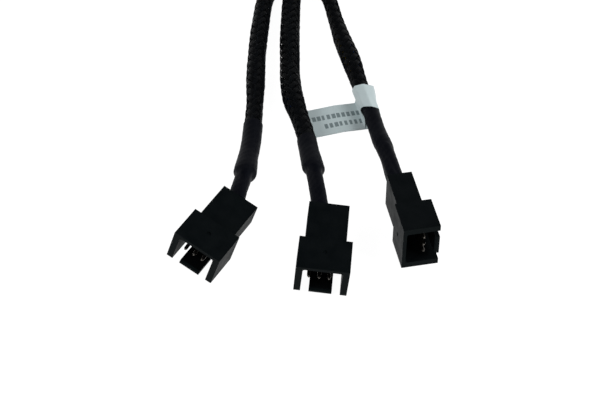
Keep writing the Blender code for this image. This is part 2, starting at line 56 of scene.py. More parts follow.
# %% [markdown]
# ## Small tools
# A few helpers are used all through the lesson. The first turns a hex colour, as a picture
# editor shows it, into the linear numbers that a shader wants. The next two set a node's
# inputs and add a node, in a material or in a Geometry Nodes tree, and one starts a
# material. The others make an object from points and faces, turn live modifiers into a plain
# mesh, point faces outwards and count triangles.

# %% Colours and nodes


def linear(code):
    """Turn an sRGB hex colour into linear RGBA."""
    parts = [int(code[i:i + 2], 16) / 255 for i in (1, 3, 5)]
    return (*(c / 12.92 if c <= 0.04045 else ((c + 0.055) / 1.055) ** 2.4 for c in parts), 1.0)


def feed(tree, node, inputs):
    """Set inputs. Each is a value, a socket, or a node whose first live output it takes."""
    for key, value in inputs.items():
        if isinstance(value, bpy.types.Node):
            value = next(output for output in value.outputs if output.enabled)
        if isinstance(value, bpy.types.NodeSocket):
            tree.links.new(value, node.inputs[key])
        else:
            node.inputs[key].default_value = value


def add(tree, kind, inputs=None, **settings):
    """Add a node with its settings and its inputs."""
    made = tree.nodes.new(kind)
    for key, value in settings.items():
        setattr(made, key, value)
    feed(tree, made, inputs or {})
    return made


def new_material(name):
    """Start a material. Return it, its tree, its shader and the place on the piece."""
    made = bpy.data.materials.new(name)
    made.use_nodes = True
    tree = made.node_tree
    place = add(tree, "ShaderNodeTexCoord").outputs["Object"]
    return made, tree, tree.nodes["Principled BSDF"], place


# %% Meshes


def mesh_object(name, points, faces, smooth=True):
    """Make an object from points in metres and faces."""
    mesh = bpy.data.meshes.new(name)
    mesh.from_pydata([tuple(p) for p in points], [], faces)
    mesh.polygons.foreach_set("use_smooth", [smooth] * len(mesh.polygons))
    mesh.update()
    made = bpy.data.objects.new(name, mesh)
    bpy.context.scene.collection.objects.link(made)
    return made


def finished(source, name):
    """Turn an object with live modifiers into a plain mesh object, and remove the first one."""
    bpy.context.view_layer.update()
    shape = source.evaluated_get(bpy.context.evaluated_depsgraph_get())
    mesh = bpy.data.meshes.new_from_object(shape)
    mesh.name = name
    bpy.data.objects.remove(source, do_unlink=True)
    made = bpy.data.objects.new(name, mesh)
    bpy.context.scene.collection.objects.link(made)
    return made


def fix_normals(piece):
    """Point every face of a closed mesh outwards."""
    form = bmesh.new()
    form.from_mesh(piece.data)
    bmesh.ops.recalc_face_normals(form, faces=form.faces)
    form.to_mesh(piece.data)
    form.free()


def triangles(piece):
    """Count the triangles of a piece."""
    return sum(len(p.vertices) - 2 for p in piece.data.polygons)


# %% [markdown]
# ## Camera
# The picture was taken with a long lens from in front and above, at about 46 degrees. The
# camera stands 419 mm from the point it looks at, which lies on the floor between the
# branches. The lens comes from the same fit as the places of the three connectors.

# %% Place the camera
CAMERA_AIM = Vector((0.0010, -0.1440, 0.0))
CAMERA_DISTANCE = 0.41906
CAMERA_ELEVATION = math.radians(45.63)
FOCAL_PIXELS = 1521.3
PICTURE_WIDTH = 600
SENSOR_WIDTH = 36.0

camera = bpy.data.objects.new("camera", bpy.data.cameras.new("camera"))
bpy.context.scene.collection.objects.link(camera)
camera.data.sensor_width = SENSOR_WIDTH
camera.data.lens = SENSOR_WIDTH * FOCAL_PIXELS / PICTURE_WIDTH
camera.data.clip_start = 0.01
camera.location = CAMERA_AIM + CAMERA_DISTANCE * Vector(
    (0.0, -math.cos(CAMERA_ELEVATION), math.sin(CAMERA_ELEVATION)))
camera.rotation_euler = (math.pi / 2 - CAMERA_ELEVATION, 0.0, 0.0)
bpy.context.scene.camera = camera
print("lens", round(camera.data.lens, 1), "mm")

# %% [markdown]
# ## The routes of the three branches
# A cord is easiest to think of as a line with a thickness. Each route below is a handful of
# points, from the joint to the back of its connector. A Catmull-Rom curve through them gives
# a smooth line, because it passes through every point and bends evenly between them.

# %% Route points and the smooth line
BRANCHES = {
    "left": dict(
        diameter=0.0055, shrink_start=0.0797, ridge_to_end=0.0122, wires=3, twist=0.5,
        route=[
            (-0.0061, -0.0380, 0.0033), (-0.0062, -0.0440, 0.0032), (-0.0078, -0.0520, 0.0029),
            (-0.0100, -0.0600, 0.0028), (-0.0109, -0.0689, 0.0028), (-0.0116, -0.0785, 0.0028),
            (-0.0120, -0.0879, 0.0028), (-0.0121, -0.0970, 0.0028), (-0.0121, -0.1058, 0.0028),
            (-0.0123, -0.1136, 0.0029), (-0.0128, -0.1246, 0.0034), (-0.0136, -0.1328, 0.0045),
            (-0.0142, -0.1397, 0.0057), (-0.0152, -0.1455, 0.0065), (-0.0163, -0.1517, 0.0068),
        ]),
    "middle": dict(
        diameter=0.0060, shrink_start=0.0876, ridge_to_end=0.0178, wires=3, twist=0.5,
        route=[
            (-0.0001, -0.0380, 0.0035), (-0.0001, -0.0440, 0.0034), (-0.0007, -0.0520, 0.0031),
            (-0.0016, -0.0600, 0.0031), (-0.0019, -0.0689, 0.0031), (-0.0021, -0.0785, 0.0031),
            (-0.0020, -0.0879, 0.0032), (-0.0019, -0.0970, 0.0034), (-0.0010, -0.1064, 0.0037),
            (0.0010, -0.1152, 0.0040), (0.0026, -0.1227, 0.0044), (0.00345, -0.1293, 0.0051),
            (0.0047, -0.1384, 0.0066), (0.0056, -0.1460, 0.0076), (0.0065, -0.1558, 0.0080),
        ]),
    "right": dict(
        diameter=0.0055, shrink_start=0.0732, ridge_to_end=0.0190, wires=4, twist=-0.4,
        route=[
            (0.0058, -0.0380, 0.0033), (0.0059, -0.0440, 0.0032), (0.0080, -0.0520, 0.0029),
            (0.0104, -0.0600, 0.0028), (0.0120, -0.0689, 0.0028), (0.0139, -0.0785, 0.0028),
            (0.0162, -0.0879, 0.0029), (0.0180, -0.0971, 0.0032), (0.0194, -0.1035, 0.00335),
            (0.0210, -0.1094, 0.00345), (0.0228, -0.1196, 0.0041), (0.0243, -0.1272, 0.0050),
            (0.0256, -0.1340, 0.0059), (0.0264, -0.1394, 0.0065), (0.0276, -0.1458, 0.0068),
        ]),
}
SLEEVE_GAP = 0.0003
SHRINK_TO_HOUSING = 0.001
ROUTE_STEPS = 64


def smooth_route(points):
    """Return a Catmull-Rom curve through the points, with a point about every 0.15 mm."""
    anchors = [Vector(p) for p in points]
    anchors = [anchors[0] * 2 - anchors[1], *anchors, anchors[-1] * 2 - anchors[-2]]
    fine = [anchors[1]]
    for a, b, c, d in zip(anchors, anchors[1:], anchors[2:], anchors[3:]):
        for step in range(1, ROUTE_STEPS + 1):
            t = step / ROUTE_STEPS
            fine.append(0.5 * (2 * b + (c - a) * t + (2 * a - 5 * b + 4 * c - d) * t ** 2
                               + (3 * b - a - 3 * c + d) * t ** 3))
    return [np.array(p) for p in fine]


def stretch_of(line, start, end, count):
    """Return evenly spaced points of a line between two distances along it."""
    line = np.array(line)
    reach = np.concatenate([[0.0], np.cumsum(np.linalg.norm(np.diff(line, axis=0), axis=1))])
    wanted = np.linspace(start, end, count)
    return np.stack([np.interp(wanted, reach, line[:, k]) for k in range(3)], axis=1)


def length_of(line):
    """Return the length of a line of points."""
    return float(np.linalg.norm(np.diff(np.array(line), axis=0), axis=1).sum())


for side, branch in BRANCHES.items():
    branch["line"] = smooth_route(branch["route"])
    branch["length"] = length_of(branch["line"])
    branch["shrink_end"] = branch["length"] - SHRINK_TO_HOUSING
    print(side, "branch:", round(branch["length"] * 1000, 1), "mm from joint to connector")

# %% [markdown]
# ## Moulded nylon
# The connector housings are injection-moulded nylon, dyed black all through. The mould was
# lightly textured, so the surface is satin and not shiny, and its tiny roughness shows as a
# soft grey sheen at glancing angles. Flow of the plastic leaves faint cloudy differences in
# gloss. Grain here is about 0.13 mm, drawn a little coarser than the real one so that it shows.

# %% Black moulded nylon


def moulded_nylon():
    """Black nylon with a fine mould texture and cloudy gloss."""
    made, tree, shader, place = new_material("moulded_black_nylon")
    cloud = add(tree, "ShaderNodeTexNoise", {"Vector": place, "Scale": 260.0, "Detail": 3.0})
    colour = add(tree, "ShaderNodeValToRGB", {"Fac": cloud})
    colour.color_ramp.elements[0].color = linear("#06080a")
    colour.color_ramp.elements[1].color = linear("#0a0c0e")
    colour.color_ramp.elements[0].position = 0.35
    colour.color_ramp.elements[1].position = 0.7
    gloss = add(tree, "ShaderNodeMapRange", {"Value": cloud, "From Min": 0.3, "From Max": 0.7,
                                             "To Min": 0.46, "To Max": 0.58})
    grain = add(tree, "ShaderNodeTexNoise",
                {"Vector": place, "Scale": 7500.0, "Detail": 2.0, "Roughness": 0.6})
    bump = add(tree, "ShaderNodeBump", {"Height": grain, "Strength": 0.16, "Distance": 0.00006})
    feed(tree, shader, {"Base Color": colour, "Roughness": gloss, "Normal": bump, "IOR": 1.53,
                        "Specular IOR Level": 0.038, "Specular Tint": linear("#b2ece8")})
    return made


NYLON = moulded_nylon()

# %% [markdown]
# ## Tinned brass contacts
# The pins and sockets are brass strip, stamped and rolled, then tinned. Tin is a pale warm
# grey, with streaks along the strip from rolling and duller patches where it was handled.
# Here both tin colours are painted much darker than tin: painted shade for pins that stand
# inside the dark shroud.

# %% Tinned brass


def tinned_brass():
    """Tin plate with rolling streaks, its colours darkened as painted shade."""
    made, tree, shader, place = new_material("tinned_brass")
    stretched = add(tree, "ShaderNodeMapping", {"Vector": place, "Scale": (1.0, 0.12, 1.0)})
    streak = add(tree, "ShaderNodeTexNoise", {"Vector": stretched, "Scale": 4200.0, "Detail": 3.0})
    rough = add(tree, "ShaderNodeMapRange", {"Value": streak, "To Min": 0.30, "To Max": 0.48})
    # Both colours are far darker than bright tin: painted shade for pins inside the shroud.
    colour = add(tree, "ShaderNodeMix",
                 {"Factor": streak, "A": linear("#7d7973"), "B": linear("#4b4844")}, data_type="RGBA")
    bump = add(tree, "ShaderNodeBump", {"Height": streak, "Strength": 0.12, "Distance": 0.00003})
    feed(tree, shader, {"Base Color": colour, "Roughness": rough, "Normal": bump, "Metallic": 1.0})
    return made


TIN = tinned_brass()

# %% [markdown]
# ## Wire insulation
# Each wire is a bundle of thin copper strands in soft PVC. It is smooth and slightly glossy,
# and it picks up a little dust. Only the ends show, where a heat-shrink stops short of its
# connector, and slivers show through the open weave of the sleeves.

# %% PVC insulation in four colours
PATCH_SHADE = 0.62


def pvc(name, code):
    """Coloured PVC with a soft gloss and a faint dusty mottle, darker in its patches."""
    made, tree, shader, place = new_material(name)
    dust = add(tree, "ShaderNodeTexNoise", {"Vector": place, "Scale": 900.0, "Detail": 4.0})
    shade = (*(PATCH_SHADE * c for c in linear(code)[:3]), 1.0)
    colour = add(tree, "ShaderNodeMix", {"Factor": dust, "A": linear(code), "B": shade}, data_type="RGBA")
    rough = add(tree, "ShaderNodeMapRange", {"Value": dust, "To Min": 0.32, "To Max": 0.5})
    feed(tree, shader, {"Base Color": colour, "Roughness": rough, "IOR": 1.53})
    return made


PVC = {1: pvc("black_pvc", "#17181a"), 2: pvc("yellow_pvc", "#8f7a1c"),
       3: pvc("blue_pvc", "#1f3f74"), 4: pvc("green_pvc", "#1f5a34")}

# %% [markdown]
# ## The housings
# The solid model has every wall, slot and cavity of a housing, but its edges are knife-sharp.
# No moulded edge is: the cutter that made the mould leaves a radius of about 0.13 mm, and
# that radius is what catches a thin line of light. A copy of the solid's mesh is merged, its
# flat faces are joined, and a Bevel modifier rounds the edges. Rebuilding the whole form
# would only repeat what the solid already has right.

# %% Copy a solid and round its edges
EDGE_RADIUS = 0.13 * MM
EDGE_SEGMENTS = 2
MERGE_DISTANCE = 0.000002
FLAT_ANGLE = math.radians(0.8)
BEVEL_ANGLE = math.radians(32)
SHARP_ANGLE = math.radians(40)


def rounded_copy(node, name, radius, material):
    """Copy a node of the frame, merge it, round its edges, and let the copy stand for it."""
    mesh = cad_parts[node].data.copy()
    form = bmesh.new()
    form.from_mesh(mesh)
    bmesh.ops.remove_doubles(form, verts=form.verts, dist=MERGE_DISTANCE)
    bmesh.ops.dissolve_limit(form, angle_limit=FLAT_ANGLE, verts=form.verts, edges=form.edges)
    form.to_mesh(mesh)
    form.free()
    mesh.materials.clear()
    mesh.materials.append(material)
    source = bpy.data.objects.new(name + "_sharp", mesh)
    bpy.context.scene.collection.objects.link(source)
    if radius:
        bevel = source.modifiers.new("edge", "BEVEL")
        bevel.width = radius
        bevel.segments = EDGE_SEGMENTS
        bevel.limit_method = "ANGLE"
        bevel.angle_limit = BEVEL_ANGLE
        bevel.miter_outer = "MITER_ARC"
        mesh.shade_smooth()
        even = source.modifiers.new("even", "WEIGHTED_NORMAL")
        even.keep_sharp = False
        even.weight = 90
    else:
        mesh.shade_smooth()
        mesh.set_sharp_from_angle(angle=SHARP_ANGLE)
    piece = finished(source, name)
    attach(piece, "root")
    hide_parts(node)
    return piece


for side in (*BRANCHES, "input"):
    housing = rounded_copy(f"{side}_housing", f"{side}_connector", EDGE_RADIUS, NYLON)
    print(side, "housing:", triangles(housing), "triangles")

# %% [markdown]
# ## Pins, sockets and wire ends
# The contacts are stamped strip with edges softened by the tin, so they get the same
# treatment with a smaller radius. The wire ends are round already and only change their
# material. The last digit of a wire's name is its contact, and that sets its colour.

# %% Pins, sockets and wire ends
CONTACT_RADIUS = 0.06 * MM
contacts = wire_ends = 0
for node in sorted(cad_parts):
    if "_pin_" in node or "_terminal_" in node:
        name = node.replace("_pin_", "_contact_").replace("terminal", "socket")
        rounded_copy(node, name, CONTACT_RADIUS, TIN)
        contacts += 1
    elif "_wire_" in node:
        number = int(node[-1])
        rounded_copy(node, node + "_end", 0.0, PVC[number])
        wire_ends += 1
print("contacts:", contacts, "wire ends:", wire_ends)

# %% [markdown]
# ## Expandable braid
# The sleeves are braided from black polyester monofilament, a hard and glossy thread of about
# 0.27 mm. Threads run in flat groups of five. Eight groups wind one way round the cable and eight
# the other way, and each group passes over two and under two of the others. Where four
# groups frame a gap, the wires inside show.
#
# The rule fits Geometry Nodes well. Every thread starts as a copy of the route. Its angle
# round the route grows with distance, and its radius rises and falls as it passes over and
# under the crossing groups. The number of the copy gives its direction, group and place.

# %% Black polyester monofilament


def monofilament():
    """Glossy black polyester thread, with slight differences between stretches of thread."""
    made, tree, shader, place = new_material("black_polyester_monofilament")
    patch = add(tree, "ShaderNodeTexNoise", {"Vector": place, "Scale": 520.0, "Detail": 3.0})
    colour = add(tree, "ShaderNodeValToRGB", {"Fac": patch})
    colour.color_ramp.elements[0].color = linear("#040405")
    colour.color_ramp.elements[1].color = linear("#090a0b")
    rough = add(tree, "ShaderNodeMapRange", {"Value": patch, "To Min": 0.30, "To Max": 0.5})
    feed(tree, shader, {"Base Color": colour, "Roughness": rough, "IOR": 1.57,
                        "Specular IOR Level": 0.04, "Specular Tint": linear("#cfe6ff")})
    return made


THREAD = monofilament()

# %% The braid as a Geometry Nodes tree
BRAID_GROUPS = 8
BRAID_THREADS = 5
THREAD_DIAMETER = 0.27 * MM
BRAID_PITCH = 24.5 * MM
BRAID_LIFT = 0.14 * MM
THREAD_SPREAD = 0.84
WANDER_PER_METRE = 150.0
WANDER_ANGLE = 0.14
WANDER_HEIGHT = 0.3 * MM
THREAD_SIDES = 5
BRAID_INPUTS = (
    ("Groups", "NodeSocketInt", BRAID_GROUPS), ("Threads", "NodeSocketInt", BRAID_THREADS),
    ("Steps", "NodeSocketInt", 200), ("Pitch", "NodeSocketFloat", BRAID_PITCH),
    ("Thread Diameter", "NodeSocketFloat", THREAD_DIAMETER), ("Lift", "NodeSocketFloat", BRAID_LIFT),
    ("Seed", "NodeSocketFloat", 3.0), ("Thread", "NodeSocketMaterial", None))


def braid_tree():
    """Threads that follow a line of points in two directions, over two and under two."""
    tree = bpy.data.node_groups.new("braid", "GeometryNodeTree")
    face = tree.interface
    face.new_socket("Line", in_out="INPUT", socket_type="NodeSocketGeometry")
    for name, kind, value in BRAID_INPUTS:
        socket = face.new_socket(name, in_out="INPUT", socket_type=kind)
        if value is not None:
            socket.default_value = value
    face.new_socket("Braid", in_out="OUTPUT", socket_type="NodeSocketGeometry")
    given = add(tree, "NodeGroupInput").outputs
    maths = "ShaderNodeMath"

    # One copy of the line for each thread, and its direction, group and place in the group.
    line = add(tree, "GeometryNodeMeshToCurve", {"Mesh": given["Line"]})
    even = add(tree, "GeometryNodeResampleCurve", {"Curve": line, "Count": given["Steps"]})
    both_ways = add(tree, maths, {0: given["Groups"], 1: 2.0}, operation="MULTIPLY")
    total = add(tree, maths, {0: both_ways, 1: given["Threads"]}, operation="MULTIPLY")
    copies = add(tree, "GeometryNodeDuplicateElements", {"Geometry": even, "Amount": total}, domain="SPLINE")
    index = copies.outputs["Duplicate Index"]
    thread = add(tree, maths, {0: index, 1: given["Threads"]}, operation="FLOORED_MODULO")
    part = add(tree, maths, {0: index, 1: given["Threads"]}, operation="DIVIDE")
    group = add(tree, maths, {0: part}, operation="FLOOR")
    half = add(tree, maths, {0: group, 1: given["Groups"]}, operation="DIVIDE")
    second = add(tree, maths, {0: half}, operation="FLOOR")
    way = add(tree, maths, {0: second, 1: -2.0, 2: 1.0}, operation="MULTIPLY_ADD")
    number = add(tree, maths, {0: group, 1: given["Groups"]}, operation="FLOORED_MODULO")

    # The angle round the line: the winding, the place in the group and a little wander.
    distance = add(tree, "GeometryNodeSplineParameter").outputs["Length"]
    turns = add(tree, maths, {0: distance, 1: given["Pitch"]}, operation="DIVIDE")
    radius = add(tree, "GeometryNodeInputNamedAttribute", {"Name": "sleeve_radius"}, data_type="FLOAT")
    share = add(tree, maths, {0: number, 1: given["Groups"]}, operation="DIVIDE")
    wound = add(tree, maths, {0: way, 1: turns, 2: share}, operation="MULTIPLY_ADD")
    turn = add(tree, maths, {0: wound, 1: 2.0 * math.pi}, operation="MULTIPLY")
    middle = add(tree, maths, {0: given["Threads"], 1: 0.5, 2: -0.5}, operation="MULTIPLY_ADD")
    centred = add(tree, maths, {0: thread, 1: middle}, operation="SUBTRACT")
    aside = add(tree, maths, {0: centred, 1: given["Thread Diameter"]}, operation="MULTIPLY")
    reach = add(tree, maths, {0: radius, 1: THREAD_SPREAD}, operation="MULTIPLY")
    spread = add(tree, maths, {0: aside, 1: reach}, operation="DIVIDE")
    along = add(tree, maths, {0: distance, 1: WANDER_PER_METRE}, operation="MULTIPLY")
    wander_at = add(tree, "ShaderNodeCombineXYZ", {"X": along, "Y": group, "Z": given["Seed"]})
    wander = add(tree, "ShaderNodeTexNoise", {"Vector": wander_at, "Scale": 1.0, "Detail": 1.0})
    level = add(tree, maths, {0: wander, 1: 0.5}, operation="SUBTRACT")
    jitter = add(tree, maths, {0: level, 1: WANDER_ANGLE, 2: spread}, operation="MULTIPLY_ADD")
    angle = add(tree, maths, {0: turn, 1: jitter}, operation="ADD")

    # The height: over two of the crossing groups, then under two.
    met = add(tree, maths, {0: turns, 1: both_ways}, operation="MULTIPLY")
    signed = add(tree, maths, {0: way, 1: met}, operation="MULTIPLY")
    phase = add(tree, maths, {0: number, 1: 2.0, 2: signed}, operation="MULTIPLY_ADD")
    swing = add(tree, maths, {0: phase, 1: math.pi / 2, 2: math.pi / 4}, operation="MULTIPLY_ADD")
    wave = add(tree, maths, {0: swing}, operation="COSINE")
    over = add(tree, maths, {0: way, 1: wave}, operation="MULTIPLY")
    lifted = add(tree, maths, {0: over, 1: given["Lift"], 2: radius}, operation="MULTIPLY_ADD")
    height = add(tree, maths, {0: level, 1: WANDER_HEIGHT, 2: lifted}, operation="MULTIPLY_ADD")

    # Move each point of each copy out to its place, then give the thread its thickness.
    tangent = add(tree, "GeometryNodeInputTangent")
    normal = add(tree, "GeometryNodeInputNormal")
    side = add(tree, "ShaderNodeVectorMath", {0: tangent, 1: normal}, operation="CROSS_PRODUCT")
    cosine = add(tree, maths, {0: angle}, operation="COSINE")
    sine = add(tree, maths, {0: angle}, operation="SINE")
    up = add(tree, maths, {0: height, 1: cosine}, operation="MULTIPLY")
    out = add(tree, maths, {0: height, 1: sine}, operation="MULTIPLY")
    rise = add(tree, "ShaderNodeVectorMath", {0: normal, "Scale": up}, operation="SCALE")
    go = add(tree, "ShaderNodeVectorMath", {0: side, "Scale": out}, operation="SCALE")
    offset = add(tree, "ShaderNodeVectorMath", {0: rise, 1: go}, operation="ADD")
    placed = add(tree, "GeometryNodeSetPosition",
                 {"Geometry": copies.outputs["Geometry"], "Offset": offset})
    thin = add(tree, maths, {0: given["Thread Diameter"], 1: 0.5}, operation="MULTIPLY")
    section = add(tree, "GeometryNodeCurvePrimitiveCircle", {"Resolution": THREAD_SIDES, "Radius": thin})
    solid = add(tree, "GeometryNodeCurveToMesh",
                {"Curve": placed, "Profile Curve": section, "Fill Caps": True})
    soft = add(tree, "GeometryNodeSetShadeSmooth", {"Geometry": solid})
    real = add(tree, "GeometryNodeRealizeInstances", {"Geometry": soft})
    dressed = add(tree, "GeometryNodeSetMaterial", {"Geometry": real, "Material": given["Thread"]})
    add(tree, "NodeGroupOutput", {"Braid": dressed})
    return tree


BRAID = braid_tree()
print("braid tree:", len(BRAID.nodes), "nodes")

# %% [markdown]
# ## Three sleeves from one tree
# An open braid gets thinner when it is pulled and thicker when it is pushed together, so a
# sleeve is never the same all along. The table gives the thickness in millimetres at some
# distances from the joint, also in millimetres. Each line of points carries its radius as an
# attribute, which the tree reads. The ends are tucked under the shrink tubes.

# %% Thickness along each sleeve
TUCK = 1.5 * MM
LEAD = 4.0 * MM
ROUTE_POINT_GAP = 0.5 * MM
STEPS_PER_CROSSING = 4
THICKNESS = {
    "left": [(0, 5.3), (24, 5.4), (30, 5.5), (37, 5.7), (45, 5.65), (49, 5.5), (57, 5.8),
             (63, 5.65), (67, 5.25), (72, 5.05), (76, 5.15), (80, 5.2), (85, 5.0)],
    "middle": [(0, 5.6), (20, 5.9), (30, 6.0), (40, 6.2), (54, 6.05), (63, 6.25), (69, 6.45),
               (72, 6.2), (75, 5.6), (79, 5.4), (84, 5.3), (88, 5.25), (93, 5.0)],
    "right": [(0, 5.3), (15, 4.9), (24, 4.6), (31, 4.65), (36, 4.95), (39, 5.3), (42, 5.6),
              (46, 5.85), (50, 6.0), (54, 5.85), (57, 5.5), (60, 5.2), (63, 4.95), (66, 4.75),
              (73, 4.5), (79, 4.3)],
}


def radius_at(side, distance):
    """Return a sleeve's outer radius at distances along it, all in metres."""
    known = np.array(THICKNESS[side])
    return np.interp(distance, known[:, 0] * MM, known[:, 1]) * MM / 2


def route_object(name, points, radii):
    """Make a line of points that carries the sleeve's radius at each point."""
    mesh = bpy.data.meshes.new(name)
    mesh.from_pydata([tuple(p) for p in points], [(i, i + 1) for i in range(len(points) - 1)], [])
    layer = mesh.attributes.new("sleeve_radius", "FLOAT", "POINT")
    layer.data.foreach_set("value", radii)
    made = bpy.data.objects.new(name, mesh)
    bpy.context.scene.collection.objects.link(made)
    return made


# %% Braid the three sleeves
sleeves = {}
for side, branch in BRANCHES.items():
    start, end = SLEEVE_GAP - TUCK, branch["shrink_start"] + TUCK
    count = int((end - start) / ROUTE_POINT_GAP)
    first, second = np.array(branch["line"][0]), np.array(branch["line"][1])
    lead = first + (first - second) / np.linalg.norm(first - second) * LEAD
    points = stretch_of([lead, *branch["line"]], start + LEAD, end + LEAD, count)
    radii = radius_at(side, np.linspace(start, end, count)) - THREAD_DIAMETER / 2 - BRAID_LIFT
    holder = route_object(f"{side}_line", points, radii)
    modifier = holder.modifiers.new("braid", "NODES")
    modifier.node_group = BRAID
    names = {item.name: item.identifier for item in BRAID.interface.items_tree}
    crossings = (end - start) / BRAID_PITCH * BRAID_GROUPS * 2
    modifier[names["Steps"]] = int(crossings * STEPS_PER_CROSSING)
    modifier[names["Thread"]] = THREAD
    modifier[names["Seed"]] = float(len(side))
    sleeves[side] = finished(holder, f"{side}_braided_sleeve")
    print(side, "sleeve:", triangles(sleeves[side]), "triangles")

# %% [markdown]
# ## The wires inside the sleeves
# Three or four wires lie loosely twisted inside each sleeve. They hardly show, but the gaps
# of the braid would otherwise look through to the floor. In the right-hand sleeve the yellow
# wire lies near the top and tints the weave. A wire is a loft: a ring of points at every
# step along a line, skinned with faces. The shrink tubes and the joint use the same helper.

# %% Directions and lofts
UP = np.array([0.0, 0.0, 1.0])


def frames_of(points):
    """Return the tangent, the across and the up direction at each point of a nearly flat line."""
    tangents = np.gradient(np.array(points), axis=0)
    tangents /= np.linalg.norm(tangents, axis=1)[:, None]
    across = np.cross(tangents, UP)
    across /= np.linalg.norm(across, axis=1)[:, None]
    return tangents, across, np.cross(across, tangents)


def rings_round(points, across, rise, radius, angles):
    """Return a ring of points round each point of a line. The radius may change everywhere."""
    spokes = (np.cos(angles)[None, :, None] * across[:, None]
              + np.sin(angles)[None, :, None] * rise[:, None])
    return points[:, None] + radius * spokes


def loft(name, rings, material, sharp_angle=None):
    """Skin a list of rings and cap both ends."""
    count, sides = len(rings), len(rings[0])
    faces = [(i * sides + k, i * sides + (k + 1) % sides,
              (i + 1) * sides + (k + 1) % sides, (i + 1) * sides + k)
             for i in range(count - 1) for k in range(sides)]
    faces.append(tuple(range(sides)))
    faces.append(tuple((count - 1) * sides + k for k in reversed(range(sides))))
    piece = mesh_object(name, np.concatenate(rings), faces)
    fix_normals(piece)
    if sharp_angle is not None:
        piece.data.set_sharp_from_angle(angle=sharp_angle)
    piece.data.materials.append(material)
    return piece


# %% Twist the wires inside
INNER_WIRE = 1.5 * MM
INNER_WIRE_SIDES = 10
INNER_WIRE_STEPS = 60
INNER_WIRE_INSET = 0.8 * MM
# Painted shade: inside the sleeve the yellow wire of the left and middle branches and the green wire of the
# right branch are drawn black, for the shadowed inside of the braid.
INNER_COLOURS = {"left": (1, 1, 3), "middle": (1, 1, 3), "right": (2, 1, 3, 1)}
WIRE_TWIST_FROM = 0.045
WIRE_TURN_LENGTH = 0.30

for side, branch in BRANCHES.items():
    at = np.linspace(INNER_WIRE_INSET, branch["shrink_start"] - INNER_WIRE_INSET, INNER_WIRE_STEPS)
    points = stretch_of(branch["line"], at[0], at[-1], INNER_WIRE_STEPS)
    room = radius_at(side, at) - 2 * THREAD_DIAMETER - BRAID_LIFT - INNER_WIRE / 2
    tangents, across, rise = frames_of(points)
    angles = np.linspace(0, 2 * np.pi, INNER_WIRE_SIDES, endpoint=False)
    colours = INNER_COLOURS[side]
    for k, colour in enumerate(colours):
        turned = branch["twist"] + 2 * math.pi * k / len(colours)
        turned = turned + 2 * math.pi * (at - WIRE_TWIST_FROM) / WIRE_TURN_LENGTH
        place = points + room[:, None] * (np.cos(turned)[:, None] * across + np.sin(turned)[:, None] * rise)
        _, wire_across, wire_rise = frames_of(place)
        rings = rings_round(place, wire_across, wire_rise, INNER_WIRE / 2, angles)
        wire = loft(f"{side}_inner_wire_{k + 1}", rings, PVC[colour])
        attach(wire, "root")
    print(side, "inner wires:", len(colours))

# %% [markdown]
# ## Heat-shrink
# Heat-shrink is a thin polyolefin tube. Warmed, it closes tightly on whatever is inside, so
# its outside tells what it covers: a wide stretch over the braid, a ridge where the braid was
# cut off, and a narrow stretch over the bare wires, which show through as soft ribs. The
# surface is a dull charcoal, with fine creases that follow the cable.
#
# Its section changes all along, so the radius of each ring of the loft is worked out from
# the distance and the angle. On top the ridge falls away more slowly than at the sides, and
# it stands a little askew, because the braid was cut by hand.

# %% Matt polyolefin


def polyolefin():
    """Dull charcoal shrink tube with fine lengthwise creases and a dusty bloom."""
    made, tree, shader, place = new_material("shrunk_polyolefin")
    bloom = add(tree, "ShaderNodeTexNoise",
                {"Vector": place, "Scale": 420.0, "Detail": 4.0, "Roughness": 0.6})
    colour = add(tree, "ShaderNodeValToRGB", {"Fac": bloom})
    colour.color_ramp.elements[0].color = linear("#04050a")
    colour.color_ramp.elements[1].color = linear("#0b0c11")
    rough = add(tree, "ShaderNodeMapRange", {"Value": bloom, "To Min": 0.44, "To Max": 0.62})
    stretched = add(tree, "ShaderNodeMapping", {"Vector": place, "Scale": (1.0, 0.2, 1.0)})
    crease = add(tree, "ShaderNodeTexNoise", {"Vector": stretched, "Scale": 2600.0, "Detail": 2.0})
    bump = add(tree, "ShaderNodeBump", {"Height": crease, "Strength": 0.3, "Distance": 0.00008})
    feed(tree, shader, {"Base Color": colour, "Roughness": rough, "Normal": bump, "IOR": 1.5,
                        "Specular IOR Level": 0.04, "Specular Tint": linear("#cfe0ff")})
    return made


SHRUNK = polyolefin()

# %% Sizes of the three tubes
SHRINK_WIDE = {"left": 5.6, "middle": 5.6, "right": 4.65}
SHRINK_RIDGE = {"left": 6.45, "middle": 6.1, "right": 5.15}
SHRINK_NECK = {"left": 4.6, "middle": 4.4, "right": 4.7}
RIDGE_SLANT = {"left": 0.05, "middle": 0.9, "right": 1.35}
SLANT_WAVE = 0.12 * MM
SLANT_EASE = 4 * MM
RIDGE_RISE = 9.0 * MM
RIDGE_CREST = 0.25 * MM
RIDGE_FALL = 1.8 * MM
TOP_FALL = 4.0 * MM
RIBS_FROM = 0.8 * MM
RIBS_EASE = 1.4 * MM
RIB_HEIGHT = 0.30 * MM
RIB_MEAN = 0.6
RIB_TWIST = 60.0
WEAVE_LOBES = 12
WEAVE_HEIGHT = 0.008 * MM
WRINKLE_HEIGHT = 0.03 * MM


def ease(x):
    """A smooth step from 0 to 1."""
    x = np.clip(x, 0.0, 1.0)
    return x * x * (3 - 2 * x)


